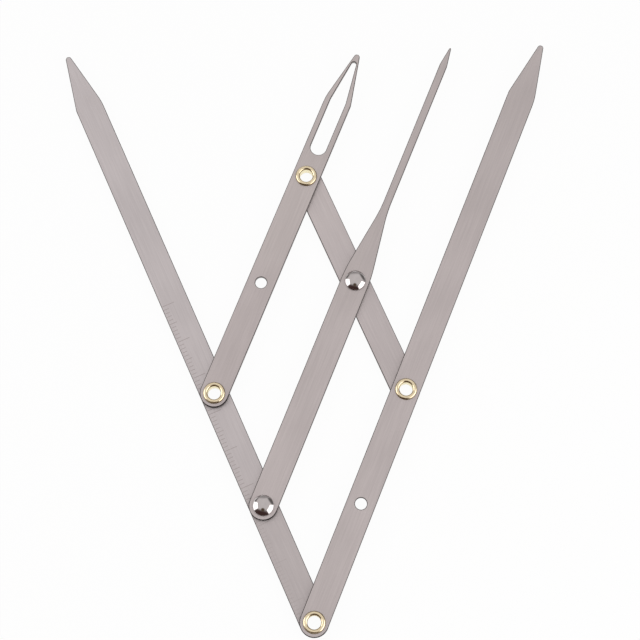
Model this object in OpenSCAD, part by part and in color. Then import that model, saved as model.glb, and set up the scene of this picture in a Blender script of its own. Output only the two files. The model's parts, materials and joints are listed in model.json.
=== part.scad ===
// Golden ratio caliper: five sheet steel arms in two layers, pinned into a rhombus
// by four brass eyelets and two capped rivets. Its four points stay in one line and keep
// the golden ratio between them at every opening.
// It lies flat, with the main pivot's axis on Z and the parting plane of the two layers at Z = 0.
// The bisector of the two long arms runs along +Y.

/* [Linkage] */
// Main pivot to the points of the two long arms
arm_reach = 159; // [120:1:220]
// Angle between the two long arms as the caliper lies
opening_angle = 45.7; // [16:0.1:160]

/* [Arm blanks] */
// Width of every arm
arm_w = 7.05; // [6.4:0.05:12]
// Thickness of the steel sheet
sheet_t = 1; // [0.6:0.05:2]
// Length of the tapered point on a long arm
point_len = 15; // [8:0.5:40]
// Rounding of the ends of the broad points
point_r = 0.75; // [0.3:0.05:1.5]
// Rounding of the softer shoulder where a broad point begins
soft_shoulder_r = 18; // [4:0.5:30]
// Rounding of the crisper shoulder on its other side
crisp_shoulder_r = 1; // [0.5:0.5:20]

/* [Slotted point] */
// How far the slotted point stops short of the line of the other points
slot_setback = 1.6; // [0:0.1:5]
// Length of the taper outside the slot
slot_point_len = 13.9; // [8:0.1:16]
// Width of the slot
slot_w = 4.15; // [2:0.05:5]
// Pivot centre to the round end of the slot
slot_start = 6.3; // [4.5:0.1:10]
// Radius of the slot's narrow end
slot_end_r = 0.65; // [0.3:0.05:0.9]
// Metal left ahead of the slot
slot_nose = 2.2; // [1.2:0.05:5]

/* [Needle] */
// How far the needle stops short of the line of the long points
needle_setback = 0.2; // [0:0.1:3]
// Width of the needle's parallel neck
neck_w = 1.95; // [1.2:0.05:4]
// How far the full width carries on past the upper rivet
needle_start = 2.1; // [0:0.1:8]
// Length of the taper from the full width to the neck
needle_taper = 17.7; // [8:0.1:24]
// Radius that blends the taper into the arm and into the neck
needle_blend_r = 40; // [5:1:60]
// Length of the needle's sharp point
needle_point_len = 5.1; // [2:0.1:12]
// Rounding of the needle's end
needle_point_r = 0.25; // [0.1:0.05:0.5]

/* [Eyelets] */
// Clear bore through an eyelet
eyelet_bore = 3.3; // [2:0.1:3.6]
// Thickness of the eyelet's brass
eyelet_wall = 0.3; // [0.15:0.05:0.4]
// Diameter of the rolled flange on top
flange_d = 5.4; // [5:0.1:6.2]
// Diameter of the curl set underneath
curl_d = 5.3; // [4.8:0.1:6]

/* [Cap rivets] */
// Diameter of the rivet post's shank
shank_d = 2.8; // [2:0.1:3]
// Diameter of the domed cap
cap_d = 5.1; // [4.4:0.1:6.2]
// Height of the domed cap
cap_h = 1.4; // [1.1:0.1:2.2]
// Thickness of the cap's metal
cap_wall = 0.3; // [0.2:0.05:0.4]
// Radius of the cap's round edge
cap_edge_r = 0.2; // [0.1:0.05:0.3]
// Diameter of the rivet post's foot underneath
foot_d = 5; // [4:0.1:6]

/* [Fits] */
// Radial clearance where an arm turns on an eyelet or a rivet
turn_clearance = 0.05; // [0.02:0.01:0.1]
// Play between the two layers, and between an arm and each head
side_play = 0.05; // [0.02:0.01:0.2]

/* [Hidden] */
$fn = 64;
// A cut runs this far past the faces that it opens
past = 1;
// Steps in the small arcs of an outline
arc_steps = 8;

// Golden section: each pivot spacing, and the reach of the two short arms from their own pivots
phi = (1 + sqrt(5)) / 2;
side = arm_reach / pow(phi, 2);
half_side = side / 2;
slot_reach = arm_reach - side - slot_setback;
needle_reach = arm_reach - half_side - needle_setback;

// Directions of the two sets of parallel arms, and the six pivots
half_opening = opening_angle / 2;
left_dir = [-sin(half_opening), cos(half_opening)];
right_dir = [sin(half_opening), cos(half_opening)];
base_pivot = [0, 0];
left_pivot = side * left_dir;
right_pivot = side * right_dir;
top_pivot = left_pivot + right_pivot;
lower_rivet = half_side * left_dir;
upper_rivet = right_pivot + lower_rivet;

// Heights of the two layers of arms, and of the seats of the heads above and below them
upper_z = side_play / 2;
lower_z = -upper_z - sheet_t;
top_seat_z = upper_z + sheet_t + side_play;
bottom_seat_z = lower_z - side_play;

// Eyelet: the barrel, and the arched roll at each of its ends
bore_r = eyelet_bore / 2;
barrel_r = bore_r + eyelet_wall;
flange_roll_r = (flange_d / 2 - bore_r) / 2;
curl_r = (curl_d / 2 - bore_r) / 2;

// Rivet: the shank, the foot that is as high as an eyelet's curl, and the cap's dome,
// which runs smoothly into its round edge
shank_r = shank_d / 2;
foot_h = curl_r;
cap_r = cap_d / 2;
edge_x = cap_r - cap_edge_r;
dome_r = (pow(edge_x, 2) + pow(cap_h - cap_edge_r, 2) - pow(cap_edge_r, 2))
    / (2 * (cap_h - 2 * cap_edge_r));
dome_z = cap_h - dome_r;
dome_tilt = atan2(edge_x, cap_edge_r - dome_z);
dome_foot = [edge_x + cap_edge_r * sin(dome_tilt), cap_edge_r + cap_edge_r * cos(dome_tilt)];
hollow_r = dome_r - cap_wall;
// The shank is upset inside the cap, to a third of the hollow's height and just inside its wall
upset_h = (cap_h - 2 * cap_wall) / 3;
upset_top = cap_wall + upset_h;
upset_gap = 0.1;
upset_r = sqrt(pow(hollow_r, 2) - pow(upset_top - dome_z, 2)) - upset_gap;

// Holes that hold an eyelet or a rivet fast, and holes that turn on one
eyelet_hold_r = barrel_r;
eyelet_turn_r = barrel_r + turn_clearance;
rivet_hold_r = shank_r;
rivet_turn_r = shank_r + turn_clearance;

steel = "#b8aead";
brass = "#e3c66a";
chrome = "#c9c9cc";

// Points along an arc about a centre, in degrees
function arc(centre, r, from, to) =
    [for (i = [0:arc_steps]) let (a = from + (to - from) * i / arc_steps) centre + r * [cos(a), sin(a)]];

// A closed outline from its right half, and from its left half as it looks mirrored, both listed upwards
function outline(right, left) =
    concat(right, [for (i = [len(left) - 1:-1:0]) [-left[i].x, left[i].y]]);

// Half angle of a taper from half width w to a round end of radius r whose centre is d further on
function taper_angle(w, d, r) = acos(r / norm([w, d])) - atan2(d, w);

// Arc that rounds the shoulder between a straight edge at x = w and a taper from station y
function shoulder(w, y, angle, r) = arc([w - r, y - r * tan(angle / 2)], r, 0, angle);

// Right half of a broad pointed arm, from its pivot to its end
function pointed_half(reach, taper_len, shoulder_r) =
    let (
        w = arm_w / 2,
        y = reach - taper_len,
        end = reach - point_r,
        angle = taper_angle(w, end - y, point_r)
    )
    concat([[w, 0]], shoulder(w, y, angle, shoulder_r), arc([0, end], point_r, angle, 90));

// Right half of the needle arm: full width, blended taper, parallel neck, sharp point
function needle_half() =
    let (
        w = arm_w / 2,
        n = neck_w / 2,
        y = side + needle_start,
        neck = y + needle_taper,
        angle = atan2(w - n, needle_taper),
        blend = needle_blend_r * tan(angle / 2),
        end = needle_reach - needle_point_r,
        point = needle_reach - needle_point_len,
        point_angle = taper_angle(n, end - point, needle_point_r)
    )
    concat(
        [[w, 0]],
        shoulder(w, y, angle, needle_blend_r),
        arc([n + needle_blend_r, neck + blend], needle_blend_r, 180 + angle, 180),
        [[n, point]],
        arc([0, end], needle_point_r, point_angle, 90)
    );

// A sheet arm with a round end about its first pivot, drawn along +Y
module sheet_arm(right, left) {
    linear_extrude(sheet_t) {
        circle(d = arm_w);
        polygon(outline(right, left));
    }
}

// A broad pointed arm with a shoulder of its own on each side
module pointed_arm(reach, taper_len, right_r, left_r) {
    sheet_arm(pointed_half(reach, taper_len, right_r), pointed_half(reach, taper_len, left_r));
}

// A round hole through the sheet at a station along the arm
module hole(station, r) {
    translate([0, station, -past]) cylinder(h = sheet_t + 2 * past, r = r);
}

// The slot that follows the slotted point: a round end, parallel walls, then a taper
module slot() {
    w = slot_w / 2;
    start = side + slot_start + w;
    bend = slot_reach - slot_point_len;
    end = slot_reach - slot_nose - slot_end_r;
    angle = taper_angle(w, end - bend, slot_end_r);
    translate([0, 0, -past]) linear_extrude(sheet_t + 2 * past) {
        translate([0, start]) circle(r = w);
        half = concat([[w, start], [w, bend]], arc([0, end], slot_end_r, angle, 90));
        polygon(outline(half, half));
    }
}

// Places an arm in its layer, with its first pivot at a point and its length along its direction
module place_arm(pivot, turn, z) {
    translate([pivot.x, pivot.y, z]) rotate([0, 0, turn]) children();
}

// Long arm of the lower layer
module left_arm() {
    color(steel) place_arm(base_pivot, half_opening, lower_z) difference() {
        pointed_arm(arm_reach, point_len, soft_shoulder_r, crisp_shoulder_r);
        hole(0, eyelet_hold_r);
        hole(half_side, rivet_hold_r);
        hole(side, eyelet_hold_r);
    }
}

// Long arm of the upper layer, with a spare rivet hole
module right_arm() {
    color(steel) place_arm(base_pivot, -half_opening, upper_z) difference() {
        pointed_arm(arm_reach, point_len, soft_shoulder_r, crisp_shoulder_r);
        hole(0, eyelet_turn_r);
        hole(half_side, rivet_turn_r);
        hole(side, eyelet_hold_r);
    }
}

// Short arm with the slotted point, in the upper layer, with a spare rivet hole
module slotted_arm() {
    color(steel) place_arm(left_pivot, -half_opening, upper_z) difference() {
        pointed_arm(slot_reach, slot_point_len, crisp_shoulder_r, soft_shoulder_r);
        hole(0, eyelet_turn_r);
        hole(half_side, rivet_turn_r);
        hole(side, eyelet_hold_r);
        slot();
    }
}

// Middle arm that ends in the needle, in the upper layer
module needle_arm() {
    color(steel) place_arm(lower_rivet, -half_opening, upper_z) difference() {
        sheet_arm(needle_half(), needle_half());
        hole(0, rivet_turn_r);
        hole(side, rivet_hold_r);
    }
}

// Link of the lower layer that closes the rhombus
module cross_link() {
    color(steel) place_arm(right_pivot, half_opening, lower_z) difference() {
        linear_extrude(sheet_t) {
            circle(d = arm_w);
            translate([-arm_w / 2, 0]) square([arm_w, side]);
            translate([0, side]) circle(d = arm_w);
        }
        hole(0, eyelet_turn_r);
        hole(half_side, rivet_turn_r);
        hole(side, eyelet_turn_r);
    }
}

// Section of the arched roll at one end of an eyelet, above its seat
module roll_section(roll_r) {
    translate([bore_r + roll_r, 0]) intersection() {
        difference() {
            circle(r = roll_r);
            circle(r = roll_r - eyelet_wall);
        }
        translate([-roll_r - past, 0]) square([2 * (roll_r + past), roll_r + past]);
    }
}

// Brass eyelet: a barrel with its flange rolled over on top and its end curled out underneath
module eyelet(pivot) {
    color(brass) translate([pivot.x, pivot.y, 0]) rotate_extrude() {
        translate([bore_r, bottom_seat_z]) square([eyelet_wall, top_seat_z - bottom_seat_z]);
        translate([0, top_seat_z]) roll_section(flange_roll_r);
        translate([0, bottom_seat_z]) mirror([0, 1]) roll_section(curl_r);
    }
}

module base_eyelet() {
    eyelet(base_pivot);
}

module left_eyelet() {
    eyelet(left_pivot);
}

module right_eyelet() {
    eyelet(right_pivot);
}

module top_eyelet() {
    eyelet(top_pivot);
}

// Hollow domed cap with a round edge, which closes over the post's upset end
module rivet_cap(pivot) {
    color(chrome) translate([pivot.x, pivot.y, top_seat_z]) rotate_extrude() difference() {
        union() {
            polygon([[0, 0], [edge_x, 0], [edge_x, cap_edge_r], dome_foot, [0, dome_foot.y]]);
            translate([edge_x, cap_edge_r]) circle(r = cap_edge_r);
            intersection() {
                translate([0, dome_z]) circle(r = dome_r);
                translate([0, dome_foot.y]) square([cap_r, cap_h]);
            }
        }
        intersection() {
            translate([0, dome_z]) circle(r = hollow_r);
            translate([0, cap_wall]) square([cap_r, cap_h]);
        }
        translate([0, -past]) square([shank_r, upset_top + past]);
        translate([-cap_r - past, -past]) square([cap_r + past, cap_h + 2 * past]);
    }
}

// Rivet post: a flat foot with a round edge, the shank, and the end upset inside the cap
module rivet_post(pivot) {
    edge_r = foot_h / 2;
    color(chrome) translate([pivot.x, pivot.y, 0]) rotate_extrude() {
        translate([0, bottom_seat_z - foot_h]) {
            square([foot_d / 2 - edge_r, foot_h]);
            translate([foot_d / 2 - edge_r, edge_r]) circle(r = edge_r);
        }
        translate([0, bottom_seat_z]) square([shank_r, top_seat_z + cap_wall - bottom_seat_z]);
        translate([0, top_seat_z + cap_wall]) square([upset_r, upset_h]);
    }
}

module lower_rivet_cap() {
    rivet_cap(lower_rivet);
}

module lower_rivet_post() {
    rivet_post(lower_rivet);
}

module upper_rivet_cap() {
    rivet_cap(upper_rivet);
}

module upper_rivet_post() {
    rivet_post(upper_rivet);
}

left_arm();
right_arm();
slotted_arm();
needle_arm();
cross_link();
base_eyelet();
left_eyelet();
right_eyelet();
top_eyelet();
lower_rivet_cap();
lower_rivet_post();
upper_rivet_cap();
upper_rivet_post();
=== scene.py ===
"""Looks of a golden ratio caliper: finishes, broken edges, ruler marks and a small studio."""

import json
import logging
import math
from dataclasses import dataclass, field
from enum import Enum
from typing import Any

import bmesh
import bpy
from mathutils import Matrix, Vector


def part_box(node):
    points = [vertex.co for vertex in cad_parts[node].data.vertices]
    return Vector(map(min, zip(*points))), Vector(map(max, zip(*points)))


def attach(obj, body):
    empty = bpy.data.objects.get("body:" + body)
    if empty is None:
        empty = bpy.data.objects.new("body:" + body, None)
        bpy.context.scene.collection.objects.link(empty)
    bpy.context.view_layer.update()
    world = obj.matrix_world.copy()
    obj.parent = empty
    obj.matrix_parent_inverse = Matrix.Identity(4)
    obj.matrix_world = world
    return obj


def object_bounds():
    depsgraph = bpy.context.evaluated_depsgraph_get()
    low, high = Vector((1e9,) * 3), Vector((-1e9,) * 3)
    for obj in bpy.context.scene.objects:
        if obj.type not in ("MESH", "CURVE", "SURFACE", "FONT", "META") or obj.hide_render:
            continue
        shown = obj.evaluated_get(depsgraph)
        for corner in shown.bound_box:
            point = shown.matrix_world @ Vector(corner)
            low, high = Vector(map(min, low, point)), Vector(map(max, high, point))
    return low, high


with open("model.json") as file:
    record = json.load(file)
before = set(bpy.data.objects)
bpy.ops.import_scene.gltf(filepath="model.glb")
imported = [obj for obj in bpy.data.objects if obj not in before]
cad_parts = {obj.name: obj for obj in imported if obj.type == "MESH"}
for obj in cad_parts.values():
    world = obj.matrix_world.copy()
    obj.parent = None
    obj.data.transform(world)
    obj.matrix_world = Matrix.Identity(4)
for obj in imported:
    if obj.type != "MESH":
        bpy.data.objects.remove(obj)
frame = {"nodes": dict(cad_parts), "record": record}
CAD_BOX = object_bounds()

LOG = logging.getLogger("caliper")
MM = 0.001
JOIN = 0.001 * MM
MIX_VECTORS = (4, 5)
MIX_COLOURS = (6, 7)
BOX_LOW, BOX_HIGH = 0, 6
Colour = tuple[float, float, float]
Span = tuple[float, float]


class Lean(Enum):
    """Which way an arm leans as the caliper lies, as the sign of its turn about +Z."""

    LEFT = 1
    RIGHT = -1


class Mark(Enum):
    """Kinds of ruler mark, by how many millimetres apart they stand."""

    UNIT = 1
    FIVE = 5
    TEN = 10


def mount_at(name: str) -> Vector:
    """Gives the place of one of the record's mounts.

    Args:
        name: The mount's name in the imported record.

    Returns:
        The mount's place, in metres, in the part's own frame.
    """
    places = {mount["name"]: mount["pos_m"] for mount in frame["record"]["mounts"]}
    return Vector(places[name])


def arm_angle() -> float:
    """Gives the angle between each long arm and the bisector, in radians."""
    place = mount_at("right_bore")
    return math.atan2(place.x, place.y)


@dataclass(frozen=True)
class Grain:
    """A noise that is stretched along the axes.

    Attributes:
        stretch: Cycles for each millimetre along X, Y and Z.
        detail: Octaves of finer noise.
        roughness: Strength of the finer octaves.
    """

    stretch: Colour
    detail: float
    roughness: float


HAIRLINES = Grain((9.0, 0.09, 9.0), 2.0, 0.6)
STREAKS = Grain((2.2, 0.08, 2.2), 3.0, 0.55)
CLOUDS = Grain((0.09, 0.05, 0.09), 2.0, 0.5)
TEARS = Grain((7.0, 7.0, 0.7), 2.0, 0.6)
HAZE = Grain((0.9, 0.9, 0.9), 3.0, 0.6)
HANDLING = Grain((2.0, 14.0, 6.0), 2.0, 0.5)
SWELL = Grain((0.55, 0.55, 0.55), 1.0, 0.4)
WEAR = Grain((1.2, 1.2, 1.2), 3.0, 0.65)


class Graph:
    """A node tree that is filled in few words."""

    def __init__(self, tree: bpy.types.NodeTree) -> None:
        """Starts from an empty tree.

        Args:
            tree: The tree of a material, of the world or of a modifier.
        """
        tree.nodes.clear()
        self.tree = tree

    def add(
        self,
        kind: str,
        inputs: dict[str | int, Any] | None = None,
        **settings: Any,
    ) -> bpy.types.Node:
        """Adds one node.

        Args:
            kind: The node's type name.
            inputs: Its sockets by name or number, each with a value or the socket to join to it.
            settings: The node's own properties.

        Returns:
            The new node.
        """
        node = self.tree.nodes.new(kind)
        for name, value in settings.items():
            setattr(node, name, value)
        for name, value in (inputs or {}).items():
            if isinstance(value, bpy.types.NodeSocket):
                self.tree.links.new(value, node.inputs[name])
            else:
                node.inputs[name].default_value = value
        return node

    def math(self, operation: str, *values: Any) -> bpy.types.NodeSocket:
        """Adds a Math node.

        Args:
            operation: The node's operation.
            values: Its inputs, each a number or a socket.

        Returns:
            The result's socket.
        """
        return self.add("ShaderNodeMath", dict(enumerate(values)), operation=operation).outputs[0]

    def vector(self, operation: str, *values: Any) -> bpy.types.NodeSocket:
        """Adds a Vector Math node.

        Args:
            operation: The node's operation.
            values: Its inputs, each a vector or a socket.

        Returns:
            The result's socket.
        """
        node = self.add("ShaderNodeVectorMath", dict(enumerate(values)), operation=operation)
        return node.outputs["Value" if operation in ("LENGTH", "DOT_PRODUCT") else "Vector"]

    def either(self, share: Any, first: Any, second: Any) -> bpy.types.NodeSocket:
        """Takes one of two vectors.

        Args:
            share: 0 for the first, 1 for the second.
            first: A vector or a vector socket.
            second: A vector or a vector socket.

        Returns:
            The taken vector's socket.
        """
        ends = dict(zip(MIX_VECTORS, (first, second)))
        return self.add("ShaderNodeMix", {0: share, **ends}, data_type="VECTOR").outputs[1]

    def fade(self, value: Any, low: float, high: float, to: Span = (0.0, 1.0)) -> bpy.types.NodeSocket:
        """Maps a value smoothly from one range to another, held at the ends.

        Args:
            value: The socket to map.
            low: The value that gives the first end of the range.
            high: The value that gives its second end.
            to: The range's two ends.

        Returns:
            The mapped value's socket.
        """
        node = self.add(
            "ShaderNodeMapRange",
            {"Value": value, "From Min": low, "From Max": high, "To Min": to[0], "To Max": to[1]},
            interpolation_type="SMOOTHSTEP",
        )
        return node.outputs["Result"]

    def blend(self, share: Any, first: Any, second: Any) -> bpy.types.NodeSocket:
        """Mixes two colours.

        Args:
            share: How much of the second, from 0 to 1.
            first: A colour or a colour socket.
            second: A colour or a colour socket.

        Returns:
            The mixed colour's socket.
        """
        ends = {
            socket: (*colour, 1.0) if isinstance(colour, tuple) else colour
            for socket, colour in zip(MIX_COLOURS, (first, second))
        }
        return self.add("ShaderNodeMix", {0: share, **ends}, data_type="RGBA").outputs[2]

    def noise(self, point: Any, grain: Grain) -> bpy.types.NodeSocket:
        """Adds a noise.

        Args:
            point: The coordinate's socket, in millimetres.
            grain: The noise's kind.

        Returns:
            The noise's socket, from 0 to 1.
        """
        mapped = self.add("ShaderNodeMapping", {"Vector": point, "Scale": grain.stretch}).outputs[0]
        node = self.add(
            "ShaderNodeTexNoise",
            {"Vector": mapped, "Scale": 1.0, "Detail": grain.detail, "Roughness": grain.roughness},
        )
        return node.outputs[0]

    def millimetres(self, turn: float = 0.0) -> bpy.types.NodeSocket:
        """Gives the shaded point on the piece's own axes, in millimetres.

        Args:
            turn: Angle about Z that the point is turned by first, in radians.

        Returns:
            The point's socket.
        """
        place = self.add("ShaderNodeTexCoord").outputs["Object"]
        inputs = {"Vector": place, "Rotation": (0.0, 0.0, turn), "Scale": (1 / MM,) * 3}
        return self.add("ShaderNodeMapping", inputs).outputs[0]

    def upright(self) -> bpy.types.NodeSocket:
        """Gives the upright share of the normal.

        Returns:
            The share's socket, from 0 on a wall to 1 on a flat.
        """
        normal = self.add("ShaderNodeTexCoord").outputs["Normal"]
        return self.math("ABSOLUTE", self.add("ShaderNodeSeparateXYZ", {0: normal}).outputs[2])


@dataclass(frozen=True)
class Blank:
    """The piece of sheet that one arm is cut from.

    Attributes:
        node: The arm's node.
        lean: The way that the arm leans.
        pivot: The mount on the axis of its round end.
        near: How much lighter or darker the arm is painted by its round end, a painted reflection of
            the room's light along it.
        far: The same painted reflection by the point.
        turn: Distances from the pivot, in millimetres, between which the one gives way to the other.
    """

    node: str
    lean: Lean
    pivot: str
    near: Colour
    far: Colour
    turn: Span


@dataclass(frozen=True)
class Finish:
    """What every metal finish here has: a name, two tones and a polish.

    Attributes:
        name: The material's name.
        pale: Its lighter tone.
        deep: Its darker tone.
        roughness: Its mean roughness.
        grazing: Share of its gloss that is left at a grazing view, for each colour.
        tone_fade: Noise levels between which the one tone gives way to the other.
    """

    name: str
    pale: Colour
    deep: Colour
    roughness: float
    grazing: Colour = field(default=(1.0, 1.0, 1.0), kw_only=True)
    tone_fade: Span = field(default=(0.3, 0.7), kw_only=True)

    def start(self, suffix: str = "") -> tuple[bpy.types.Material, Graph]:
        """Makes an empty node material.

        Args:
            suffix: What is added to the finish's name.

        Returns:
            The material, and its node tree.
        """
        material = bpy.data.materials.new(self.name + suffix)
        material.use_nodes = True
        return material, Graph(material.node_tree)

    def close(self, graph: Graph, inputs: dict[str, Any]) -> None:
        """Ends a material with its shader.

        Args:
            graph: The material's node tree.
            inputs: The shader's sockets that aren't at their defaults.
        """
        fixed = {"Metallic": 1.0, "Specular Tint": (*self.grazing, 1.0)}
        shader = graph.add("ShaderNodeBsdfPrincipled", {**fixed, **inputs})
        graph.add("ShaderNodeOutputMaterial", {"Surface": shader.outputs[0]})


@dataclass(frozen=True)
class SatinSteel(Finish):
    """Sheet steel brushed along the arm, with a broken edge painted dark as painted shade and a rougher
    sheared wall whose darker tone is partly its own and partly painted shade.

    Attributes:
        line: Tone of the broken edge, painted dark as painted shade.
        wall: Tone of the sheared wall, partly its own duller tone and partly painted shade.
        end_wall_shade: Painted shade on the wall and the broken edge around the round end, a near
            black.
        wall_dulling: How much rougher the broken edge and the wall are.
        anisotropy: How far the brushing stretches the gloss.
        shares: How much of the grain is hairlines, streaks and clouds.
        grain_fade: Grain levels between which the darker tone gives way to the lighter.
        flat_slope: Upright share of the normal between which the broken edge gives way to the face.
        wall_slope: Upright share between which the wall gives way to the broken edge.
        wall_shade: How dark the torn parts of the wall are, as a share of its tone.
        round_end: Distances from the pivot, in millimetres, between which the painted shade of the
            round end gives out.
        spread: How far the roughness follows the grain.
        bump: Strength of the brushing's relief.
        depth: Depth of the brushing's relief, in metres.
    """

    # Painted shade: the dark broken edge, and in part the darker sheared wall.
    line: Colour = (0.1, 0.09, 0.087)
    wall: Colour = (0.4, 0.372, 0.366)
    end_wall_shade: Colour = (0.035, 0.03, 0.029)
    wall_dulling: float = 0.1
    anisotropy: float = 0.15
    shares: Colour = (0.4, 0.25, 0.35)
    grain_fade: Span = (0.25, 0.75)
    flat_slope: Span = (0.975, 0.995)
    wall_slope: Span = (0.12, 0.22)
    wall_shade: float = 0.7
    round_end: Span = (-0.5, 2.0)
    spread: float = 0.16
    bump: float = 0.12
    depth: float = 0.01 * MM

    def grain(self, graph: Graph, along: bpy.types.NodeSocket) -> bpy.types.NodeSocket:
        """Makes the brushing's pattern.

        Args:
            graph: The material's node tree.
            along: The point in millimetres, with Y along the arm.

        Returns:
            The pattern's socket, from 0 to 1.
        """
        parts = [
            graph.math("MULTIPLY", graph.noise(along, kind), share)
            for kind, share in zip((HAIRLINES, STREAKS, CLOUDS), self.shares)
        ]
        return graph.math("ADD", graph.math("ADD", parts[0], parts[1]), parts[2])

    def side(
        self,
        graph: Graph,
        along: bpy.types.NodeSocket,
        station: bpy.types.NodeSocket,
        upright: bpy.types.NodeSocket,
    ) -> bpy.types.NodeSocket:
        """Makes the colour of the broken edge and of the wall under it, with their painted shade.

        Args:
            graph: The material's node tree.
            along: The point in millimetres, with Y along the arm.
            station: Distance along the arm from its pivot, in millimetres.
            upright: The upright share of the normal.

        Returns:
            The colour's socket.
        """
        torn = tuple(self.wall_shade * value for value in self.wall)
        tears = graph.fade(graph.noise(along, TEARS), *self.tone_fade)
        # Painted shade: the wall and the broken edge are painted near black around the round end.
        rounded = graph.fade(station, *self.round_end, (1.0, 0.0))
        wall = graph.blend(rounded, graph.blend(tears, torn, self.wall), self.end_wall_shade)
        line = graph.blend(rounded, self.line, self.end_wall_shade)
        return graph.blend(graph.fade(upright, *self.wall_slope), wall, line)

    def material(self, blank: Blank) -> bpy.types.Material:
        """Makes the finish for one arm.

        Args:
            blank: The sheet that the arm is cut from.

        Returns:
            The material.
        """
        material, graph = self.start("_" + blank.node)
        angle = blank.lean.value * arm_angle()
        along = graph.millimetres(-angle)
        grain = self.grain(graph, along)
        face = graph.blend(graph.fade(grain, *self.grain_fade), self.deep, self.pale)
        pivot = Matrix.Rotation(-angle, 3, "Z") @ mount_at(blank.pivot) / MM
        reach = graph.add("ShaderNodeSeparateXYZ", {0: along}).outputs[1]
        station = graph.math("SUBTRACT", reach, pivot.y)
        # Painted reflection: the arm's tone is lightened or darkened along it, standing in for the
        # room's light that it mirrors.
        tint = graph.blend(graph.fade(station, *blank.turn), blank.near, blank.far)
        face = graph.vector("MULTIPLY", face, tint)
        upright = graph.upright()
        # This mask also lays the painted shade of the broken edge and of the wall over the face.
        broken = graph.fade(upright, *self.flat_slope, (1.0, 0.0))
        spread = graph.math("MULTIPLY", graph.math("SUBTRACT", grain, 0.5), self.spread)
        dulled = graph.math("MULTIPLY", broken, self.wall_dulling)
        relief = {"Strength": self.bump, "Distance": self.depth, "Height": grain}
        tangent = graph.add(
            "ShaderNodeVectorTransform",
            {0: (math.cos(angle), math.sin(angle), 0.0)},
            vector_type="VECTOR",
            convert_from="OBJECT",
            convert_to="WORLD",
        )
        self.close(
            graph,
            {
                "Base Color": graph.blend(broken, face, self.side(graph, along, station, upright)),
                "Roughness": graph.math("ADD", graph.math("ADD", spread, self.roughness), dulled),
                "Anisotropic": self.anisotropy,
                "Specular Tint": graph.blend(broken, self.grazing, (1.0, 1.0, 1.0)),
                "Tangent": tangent.outputs[0],
                "Normal": graph.add("ShaderNodeBump", relief).outputs[0],
            },
        )
        return material


@dataclass(frozen=True)
class BrightMetal(Finish):
    """Polished metal with a rim that is rougher and painted dark as painted shade, a little haze and
    the unevenness of a set rivet.

    Attributes:
        wall: Tone of the upright walls: on the chrome painted dark as painted shade, and on the brass
            kept pale, partly as a painted reflection of the lit bore.
        rim: Tone of the rim, where it turns down to a wall, painted dark as painted shade.
        rim_slope: Upright share of the normal at which the rim is fully rougher and painted dark, and
            at which this begins.
        haze: How much rougher the hazy patches are.
        wobble: Depth of the unevenness, in millimetres.
        scratch: Depth of the handling marks, in millimetres.
        bump: Strength of the handling marks' relief.
        wall_slope: Upright share of the normal between which the wall gives way to the rim.
        haze_fade: Noise levels between which the haze comes on.
        rim_dulling: How much rougher the rim and the walls are.
    """

    wall: Colour
    rim: Colour
    rim_slope: Span
    haze: float = 0.05
    wobble: float = 0.02
    scratch: float = 0.002
    bump: float = 0.06
    wall_slope: Span = (0.05, 0.15)
    haze_fade: Span = (0.35, 0.8)
    rim_dulling: float = 0.2

    def material(self) -> bpy.types.Material:
        """Makes the finish.

        Returns:
            The material.
        """
        material, graph = self.start()
        point = graph.millimetres()
        patch = graph.noise(point, HAZE)
        body = graph.blend(graph.fade(patch, *self.tone_fade), self.deep, self.pale)
        upright = graph.upright()
        # Painted shade: the rim is painted dark and the walls take the wall tone; the same mask makes
        # the rim rougher.
        dull = graph.fade(upright, *self.rim_slope, (1.0, 0.0))
        side = graph.blend(graph.fade(upright, *self.wall_slope), self.wall, self.rim)
        rough = graph.fade(patch, *self.haze_fade, (self.roughness, self.roughness + self.haze))
        wave = graph.add(
            "ShaderNodeBump",
            {"Strength": 1.0, "Distance": self.wobble * MM, "Height": graph.noise(point, SWELL)},
        )
        marks = graph.add(
            "ShaderNodeBump",
            {
                "Strength": self.bump,
                "Distance": self.scratch * MM,
                "Height": graph.noise(point, HANDLING),
                "Normal": wave.outputs[0],
            },
        )
        self.close(
            graph,
            {
                "Base Color": graph.blend(dull, body, side),
                "Roughness": graph.math("ADD", rough, graph.math("MULTIPLY", dull, self.rim_dulling)),
                "Normal": marks.outputs[0],
            },
        )
        return material


@dataclass(frozen=True)
class EtchedMark(Finish):
    """The dull, slightly darker trace that etching leaves on steel, worn by the main pivot.

    Attributes:
        worn: Tone of the worn marks.
        reach: Distances from the main pivot, in millimetres, between which the wear gives out.
        spread: How much rougher the pale parts are.
    """

    worn: Colour
    reach: Span
    spread: float = 0.1

    def material(self) -> bpy.types.Material:
        """Makes the finish.

        Returns:
            The material.
        """
        material, graph = self.start()
        point = graph.millimetres()
        patch = graph.noise(point, WEAR)
        colour = graph.blend(graph.fade(patch, *self.tone_fade), self.deep, self.pale)
        far = graph.vector("LENGTH", point)
        colour = graph.blend(graph.fade(far, *self.reach, (1.0, 0.0)), colour, self.worn)
        rough = graph.fade(patch, *self.tone_fade, (self.roughness, self.roughness + self.spread))
        self.close(graph, {"Base Color": colour, "Roughness": rough})
        return material


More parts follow.
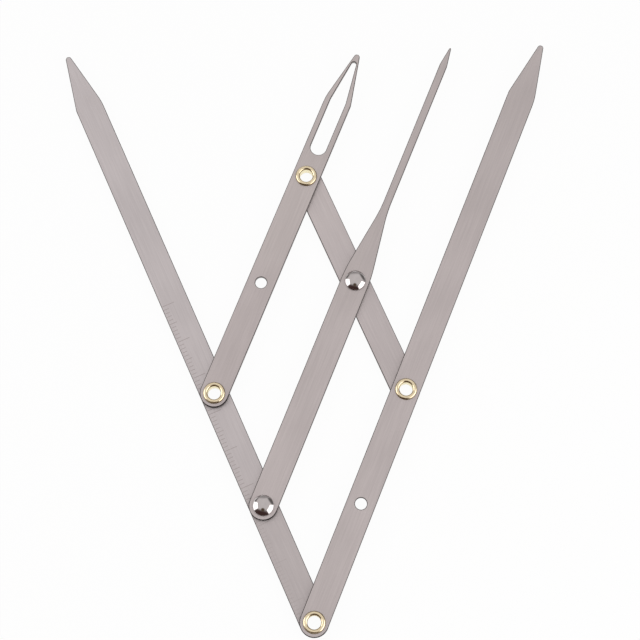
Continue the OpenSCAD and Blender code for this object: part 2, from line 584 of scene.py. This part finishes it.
STEEL = SatinSteel(
    "satin_steel",
    pale=(0.685, 0.636, 0.634),
    deep=(0.547, 0.505, 0.504),
    roughness=0.47,
    grazing=(0.35, 0.343, 0.34),
)
BRASS = BrightMetal(
    "polished_brass",
    pale=(0.98, 0.86, 0.61),
    deep=(0.93, 0.79, 0.53),
    roughness=0.2,
    # Painted light: the wall is kept as pale as the body, in part a painted reflection of the lit bore.
    wall=(0.96, 0.88, 0.62),
    # Painted shade: the rim is painted dark brown.
    rim=(0.26, 0.18, 0.07),
    rim_slope=(0.5, 0.82),
    wobble=0.05,
)
CHROME = BrightMetal(
    "bright_chrome",
    pale=(0.64, 0.605, 0.6),
    deep=(0.6, 0.565, 0.56),
    roughness=0.03,
    # Painted shade: the chrome's walls and rim are painted dark.
    wall=(0.27, 0.25, 0.245),
    rim=(0.27, 0.25, 0.245),
    rim_slope=(0.5, 0.7),
    haze=0.03,
)
ETCH = EtchedMark(
    "etched_mark",
    pale=(0.555, 0.506, 0.5),
    deep=(0.48, 0.436, 0.431),
    roughness=0.5,
    worn=(0.58, 0.534, 0.53),
    reach=(22.0, 36.0),
    grazing=STEEL.grazing,
)


@dataclass
class SteelArms:
    """The five sheet arms: broken edges, and brushing that runs along each one.

    Attributes:
        blanks: The sheet of each arm, with the painted reflection along it.
        edge_break: How far the sharp edges are broken, in metres.
        edge_steps: Faces across a broken edge.
        flat_angle: Bend between faces up to which they are one flat, in degrees.
        edge_angle: Bend from which an edge is sharp, in degrees.
    """

    blanks: tuple[Blank, ...] = (
        Blank(
            node="left_arm",
            lean=Lean.LEFT,
            pivot="base_bore",
            near=(1.0, 1.0, 1.0),
            far=(1.078, 1.09, 1.1),
            turn=(26.0, 46.0),
        ),
        Blank(
            node="cross_link",
            lean=Lean.LEFT,
            pivot="right_bore",
            near=(1.045, 1.04, 1.04),
            far=(1.11, 1.105, 1.1),
            turn=(38.0, 50.0),
        ),
        Blank(
            node="right_arm",
            lean=Lean.RIGHT,
            pivot="base_bore",
            near=(1.01, 1.0, 0.995),
            far=(0.972, 0.965, 0.958),
            turn=(85.0, 130.0),
        ),
        Blank(
            node="slotted_arm",
            lean=Lean.RIGHT,
            pivot="left_bore",
            near=(0.985, 0.97, 0.965),
            far=(1.04, 1.03, 1.015),
            turn=(28.0, 40.0),
        ),
        Blank(
            node="needle_arm",
            lean=Lean.RIGHT,
            pivot="rest_face",
            near=(1.02, 1.01, 1.005),
            far=(0.985, 0.975, 0.965),
            turn=(46.0, 56.0),
        ),
    )
    edge_break: float = 0.15 * MM
    edge_steps: int = 3
    flat_angle: float = 0.5
    edge_angle: float = 50.0

    def build(self) -> None:
        """Joins the faces of every arm and breaks its sharp edges."""
        for blank in self.blanks:
            arm = frame["nodes"][blank.node]
            weld = arm.modifiers.new("join_faces", "WELD")
            weld.merge_threshold = JOIN
            flats = arm.modifiers.new("whole_flats", "DECIMATE")
            flats.decimate_type = "DISSOLVE"
            flats.angle_limit = math.radians(self.flat_angle)
            edge = arm.modifiers.new("broken_edge", "BEVEL")
            edge.width = self.edge_break
            edge.segments = self.edge_steps
            edge.limit_method = "ANGLE"
            edge.angle_limit = math.radians(self.edge_angle)
            edge.use_clamp_overlap = False
            edge.loop_slide = False

    def dress(self) -> None:
        """Gives each arm the steel whose brushing runs along it."""
        for blank in self.blanks:
            frame["nodes"][blank.node].material_slots[0].material = STEEL.material(blank)
            LOG.info("arm %s dressed", blank.node)


@dataclass
class Heads:
    """The eyelets and the capped rivets that pin the arms.

    Attributes:
        eyelets: Nodes of the brass eyelets.
        caps: Nodes of the chromed caps.
        posts: Nodes of the chromed posts.
        cap_edge: Radius of a cap's round edge, in metres.
    """

    eyelets: tuple[str, ...] = ("base_eyelet", "left_eyelet", "right_eyelet", "top_eyelet")
    caps: tuple[str, ...] = ("lower_rivet_cap", "upper_rivet_cap")
    posts: tuple[str, ...] = ("lower_rivet_post", "upper_rivet_post")
    cap_edge: float = 0.2 * MM

    def rounding(self, cap: bpy.types.Object) -> bpy.types.NodeTree:
        """Makes the modifier's tree that joins a cap's faces and shades its outside truly round.

        Args:
            cap: The cap's object.

        Returns:
            The geometry tree.
        """
        low, high = (Vector(cap.bound_box[corner]) for corner in (BOX_LOW, BOX_HIGH))
        base = ((low.x + high.x) / 2, (low.y + high.y) / 2, low.z)
        height = high.z - low.z
        edge = self.cap_edge
        rim = (high.x - low.x) / 2 - edge
        radius = (rim**2 + (height - edge) ** 2 - edge**2) / (2 * (height - 2 * edge))
        centre = height - radius
        foot = edge * (1 + math.cos(math.atan2(rim, edge - centre)))
        tree = bpy.data.node_groups.new("round_" + cap.name, "GeometryNodeTree")
        for way in ("INPUT", "OUTPUT"):
            tree.interface.new_socket("Mesh", in_out=way, socket_type="NodeSocketGeometry")
        graph = Graph(tree)
        held = graph.add("GeometryNodeCaptureAttribute", domain="CORNER")
        held.capture_items.new("VECTOR", "normal")
        tree.links.new(graph.add("NodeGroupInput").outputs[0], held.inputs[0])
        tree.links.new(graph.add("GeometryNodeInputNormal").outputs[0], held.inputs[1])
        own = held.outputs[1]
        point = graph.vector("SUBTRACT", graph.add("GeometryNodeInputPosition").outputs[0], base)
        flat = graph.vector("MULTIPLY", point, (1.0, 1.0, 0.0))
        outward = graph.vector("NORMALIZE", flat)
        ring = graph.vector("MULTIPLY_ADD", outward, (rim,) * 3, (0.0, 0.0, edge))
        level = graph.add("ShaderNodeSeparateXYZ", {0: point}).outputs[2]
        domed = graph.math("GREATER_THAN", level, foot - JOIN)
        middle = graph.either(domed, ring, (0.0, 0.0, centre))
        true = graph.vector("NORMALIZE", graph.vector("SUBTRACT", point, middle))
        outside = graph.math("GREATER_THAN", graph.vector("DOT_PRODUCT", true, own), 0.0)
        edged = graph.math("GREATER_THAN", graph.vector("LENGTH", flat), rim - JOIN)
        outside = graph.math("MULTIPLY", outside, graph.math("MAXIMUM", domed, edged))
        joined = graph.add(
            "GeometryNodeMergeByDistance", {"Geometry": held.outputs[0], "Distance": JOIN}
        ).outputs[0]
        shaded = graph.add("GeometryNodeSetMeshNormal", {"Mesh": joined}, mode="FREE", domain="CORNER")
        tree.links.new(graph.either(outside, own, true), shaded.inputs["Custom Normal"])
        graph.add("NodeGroupOutput", {0: shaded.outputs[0]})
        return tree

    def build(self) -> None:
        """Closes the skin of the caps and rounds their shading."""
        for name in self.caps:
            cap = frame["nodes"][name]
            cap.modifiers.new("round_shading", "NODES").node_group = self.rounding(cap)

    def dress(self) -> None:
        """Gives the eyelets their brass and the rivets their chrome."""
        for names, finish in ((self.eyelets, BRASS), (self.caps + self.posts, CHROME)):
            material = finish.material()
            for name in names:
                frame["nodes"][name].material_slots[0].material = material
                LOG.info("head %s dressed", name)


@dataclass
class Ruler:
    """The etched millimetre marks along the outer edge of the left arm.

    Attributes:
        length: How many millimetres the ruler reads.
        half_width: Half of the arm's width, in metres.
        inset: Gap from the arm's edge to the marks, in metres.
        reach: How far each kind of mark reaches in from the edge, in metres.
        line: Width of a mark, in metres.
        height: How far a mark stands out of the face, in metres.
        sunk: How far it is let into the face, in metres.
    """

    length: int = 90
    half_width: float = 3.525 * MM
    inset: float = 0.3 * MM
    reach: dict[Mark, float] = field(
        default_factory=lambda: {Mark.UNIT: 1.6 * MM, Mark.FIVE: 2.1 * MM, Mark.TEN: 3.5 * MM}
    )
    line: float = 0.15 * MM
    height: float = 0.008 * MM
    sunk: float = 0.006 * MM

    def kind(self, reading: int) -> Mark:
        """Tells which kind of mark stands at a reading.

        Args:
            reading: Whole millimetres from the arm's round end.

        Returns:
            The longest kind that divides the reading.
        """
        return next(mark for mark in (Mark.TEN, Mark.FIVE, Mark.UNIT) if reading % mark.value == 0)

    def outer(self, station: float) -> float:
        """Gives the distance from the arm's centre line to its edge.

        Args:
            station: Distance along the arm from its pivot, in metres.

        Returns:
            The distance, which shrinks around the arm's round end.
        """
        if station >= 0:
            return self.half_width
        return math.sqrt(max(self.half_width**2 - station**2, 0.0))

    def outline(self, reading: int) -> list[tuple[float, float]]:
        """Draws one mark: square at the arm's edge and chamfered at its inner end.

        Args:
            reading: Whole millimetres from the arm's round end.

        Returns:
            Points as distances across and along the arm, empty where the mark has no room.
        """
        station = reading * MM - self.half_width
        start = -self.outer(station) + self.inset
        end = -self.half_width + self.reach[self.kind(reading)]
        half = self.line / 2
        if end - start < 2 * self.line:
            return []
        return [
            (start, station - half),
            (end - half, station - half),
            (end, station),
            (end - half, station + half),
            (start, station + half),
        ]

    def build(self) -> bpy.types.Object:
        """Makes all the marks as one thin mesh on the left arm's upper face.

        Returns:
            The marks' object.
        """
        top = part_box("left_arm")[1].z
        turn = Matrix.Rotation(arm_angle(), 4, "Z")
        bm = bmesh.new()
        for reading in range(1, self.length + 1):
            points = self.outline(reading)
            if not points:
                continue
            floor = [bm.verts.new(turn @ Vector((x, y, top - self.sunk))) for x, y in points]
            roof = [bm.verts.new(turn @ Vector((x, y, top + self.height))) for x, y in points]
            bm.faces.new(roof)
            bm.faces.new(list(reversed(floor)))
            for i, (a, b) in enumerate(zip(floor, roof)):
                j = (i + 1) % len(points)
                bm.faces.new((a, floor[j], roof[j], b))
        mesh = bpy.data.meshes.new("ruler_marks")
        bm.to_mesh(mesh)
        bm.free()
        marks = bpy.data.objects.new("ruler_marks", mesh)
        bpy.context.scene.collection.objects.link(marks)
        return marks

    def dress(self, marks: bpy.types.Object) -> None:
        """Gives the marks their etched tone and fixes them to the left arm.

        Args:
            marks: The marks' object.
        """
        marks.data.materials.append(ETCH.material())
        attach(marks, "left_arm")
        LOG.info("ruler marks made: %d faces", len(marks.data.polygons))


@dataclass(frozen=True)
class Patch:
    """A round darker part of the room, as bright metal mirrors it.

    Attributes:
        azimuth: Where it is, in degrees about +Z from +X.
        elevation: How high its middle is, in degrees.
        inner: Angle from its middle at which it begins to fade, in degrees.
        outer: Angle at which it is gone, in degrees.
        colour: Its colour.
    """

    azimuth: float
    elevation: float
    inner: float
    outer: float
    colour: Colour

    def direction(self) -> Colour:
        """Gives the unit vector to its middle."""
        a, e = math.radians(self.azimuth), math.radians(self.elevation)
        return (math.cos(e) * math.cos(a), math.cos(e) * math.sin(a), math.sin(e))


@dataclass(frozen=True)
class Softbox:
    """An upright rectangular lamp at the caliper's side.

    Attributes:
        name: The lamp's name.
        ends: Azimuth in degrees about +Z from +X, and distance in metres, of its two upright edges.
        low: Height of its lower edge, in metres.
        high: Height of its upper edge, in metres.
        radiance: How bright its face is, where 1 is white.
    """

    name: str
    ends: tuple[Span, Span]
    low: float
    high: float
    radiance: float

    def build(self, target: Vector) -> None:
        """Makes the lamp.

        Args:
            target: The middle of what it lights.
        """
        first, last = (
            far * Vector((math.cos(math.radians(turn)), math.sin(math.radians(turn)), 0.0))
            for turn, far in self.ends
        )
        middle = (first + last) / 2 + Vector((0.0, 0.0, (self.low + self.high) / 2))
        side = (last - first).normalized()
        outward = side.cross(Vector((0.0, 0.0, 1.0)))
        if outward.dot(middle) < 0:
            side, outward = -side, -outward
        lamp = bpy.data.lights.new(self.name, "AREA")
        lamp.shape = "RECTANGLE"
        lamp.size = (last - first).length
        lamp.size_y = self.high - self.low
        lamp.energy = self.radiance * math.pi * lamp.size * lamp.size_y
        item = bpy.data.objects.new(self.name, lamp)
        bpy.context.scene.collection.objects.link(item)
        turn = Matrix((side, outward.cross(side), outward)).transposed().to_4x4()
        item.matrix_world = Matrix.Translation(target + middle) @ turn


@dataclass
class Studio:
    """Floor, room, lamps and camera.

    Attributes:
        room: The room's light from above.
        skirting: The room's light from near the floor.
        rise: Heights, as sines, between which the one gives way to the other.
        patches: Darker parts of the room.
        lamps: The soft lamps.
        floor_side: Side of the floor, in metres.
        floor_drop: Gap from the caliper's feet to the floor, in metres.
        floor_tone: The floor's tone.
        floor_glow: Share of the floor's look that is plain white.
        eye: The camera's place, in metres.
        forward: The way that it looks.
        up: The way that its picture's upper edge faces.
        lens: Its focal length, in millimetres.
        sensor: Its sensor's width, in millimetres.
        clip_start: Distance from which it sees, in metres.
    """

    room: Colour = (0.745, 0.72, 0.715)
    skirting: Colour = (0.4, 0.38, 0.375)
    rise: Span = (-0.05, 0.42)
    patches: tuple[Patch, ...] = (
        Patch(-130.0, 8.0, 24.0, 48.0, (0.09, 0.065, 0.06)),
        Patch(-96.0, 8.0, 28.0, 62.0, (0.065, 0.036, 0.033)),
        Patch(-98.0, 58.0, 6.0, 19.0, (0.11, 0.08, 0.055)),
        Patch(36.0, -4.0, 20.0, 38.0, (0.16, 0.152, 0.15)),
        Patch(140.0, -6.0, 14.0, 30.0, (0.2, 0.19, 0.186)),
        Patch(90.0, -8.0, 10.0, 44.0, (0.36, 0.345, 0.345)),
    )
    lamps: tuple[Softbox, ...] = (
        Softbox("left_softbox", ((154.0, 0.55), (205.0, 0.5)), 0.0, 0.43, 1.62),
        Softbox("right_softbox", ((-60.0, 0.31), (3.5, 0.363)), 0.0, 0.27, 1.62),
    )
    floor_side: float = 8.0
    floor_drop: float = 0.02 * MM
    floor_tone: Colour = (0.95, 0.95, 0.95)
    floor_glow: float = 0.95
    eye: Colour = (0.00404, -0.025396, 0.379853)
    forward: Colour = (-0.00324, 0.25366, -0.96729)
    up: Colour = (0.02047, 0.96711, 0.25355)
    lens: float = 88.65
    sensor: float = 36.0
    clip_start: float = 0.01

    def build_floor(self) -> None:
        """Lays the pale floor under the caliper's feet."""
        half = self.floor_side / 2
        height = CAD_BOX[0].z - self.floor_drop
        mesh = bpy.data.meshes.new("floor")
        signs = ((-1, -1), (1, -1), (1, 1), (-1, 1))
        corners = [(half * x, half * y, height) for x, y in signs]
        mesh.from_pydata(corners, [], [(0, 1, 2, 3)])
        floor = bpy.data.objects.new("floor", mesh)
        bpy.context.scene.collection.objects.link(floor)
        material = bpy.data.materials.new("pale_floor")
        material.use_nodes = True
        graph = Graph(material.node_tree)
        path = graph.add("ShaderNodeLightPath").outputs
        seen = graph.math("MAXIMUM", path["Is Camera Ray"], path["Is Glossy Ray"])
        seen = graph.math("MAXIMUM", seen, path["Is Transmission Ray"])
        matt = graph.add("ShaderNodeBsdfDiffuse", {"Color": (*self.floor_tone, 1.0)})
        white = graph.add("ShaderNodeEmission", {"Color": (1.0, 1.0, 1.0, 1.0), "Strength": 1.0})
        both = graph.add(
            "ShaderNodeMixShader",
            {0: graph.math("MULTIPLY", seen, self.floor_glow), 1: matt.outputs[0], 2: white.outputs[0]},
        )
        graph.add("ShaderNodeOutputMaterial", {"Surface": both.outputs[0]})
        mesh.materials.append(material)

    def build_room(self) -> None:
        """Lights the caliper softly from all round, with the darker parts of the room."""
        world = bpy.data.worlds.new("room")
        world.use_nodes = True
        bpy.context.scene.world = world
        graph = Graph(world.node_tree)
        way = graph.add("ShaderNodeTexCoord").outputs["Generated"]
        height = graph.add("ShaderNodeSeparateXYZ", {0: way}).outputs[2]
        colour = graph.blend(graph.fade(height, *self.rise), self.skirting, self.room)
        for patch in self.patches:
            facing = graph.vector("DOT_PRODUCT", way, patch.direction())
            ends = math.cos(math.radians(patch.outer)), math.cos(math.radians(patch.inner))
            colour = graph.blend(graph.fade(facing, *ends), colour, patch.colour)
        back = graph.add("ShaderNodeBackground", {"Color": colour, "Strength": 1.0})
        graph.add("ShaderNodeOutputWorld", {"Surface": back.outputs[0]})

    def build_lamps(self) -> None:
        """Stands the soft lamps at the caliper's sides."""
        middle = (CAD_BOX[0] + CAD_BOX[1]) / 2
        for lamp in self.lamps:
            lamp.build(middle)

    def build_camera(self) -> None:
        """Places the camera at the photograph's viewing angle."""
        camera = bpy.data.cameras.new("camera")
        camera.lens = self.lens
        camera.sensor_width = self.sensor
        camera.clip_start = self.clip_start
        camera.dof.use_dof = False
        item = bpy.data.objects.new("camera", camera)
        bpy.context.scene.collection.objects.link(item)
        back = -Vector(self.forward).normalized()
        right = Vector(self.up).cross(back).normalized()
        turn = Matrix((right, back.cross(right), back)).transposed().to_4x4()
        item.matrix_world = Matrix.Translation(self.eye) @ turn
        bpy.context.scene.camera = item

    def build(self) -> None:
        """Sets up the whole studio."""
        self.build_floor()
        self.build_room()
        self.build_lamps()
        self.build_camera()
        bpy.context.scene.view_settings.view_transform = "Standard"


def main() -> None:
    """Builds and dresses the caliper, then the studio."""
    logging.basicConfig(level=logging.INFO, format="%(message)s")
    arms = SteelArms()
    arms.build()
    arms.dress()
    heads = Heads()
    heads.build()
    heads.dress()
    ruler = Ruler()
    ruler.dress(ruler.build())
    Studio().build()


if __name__ == "__main__":
    main()
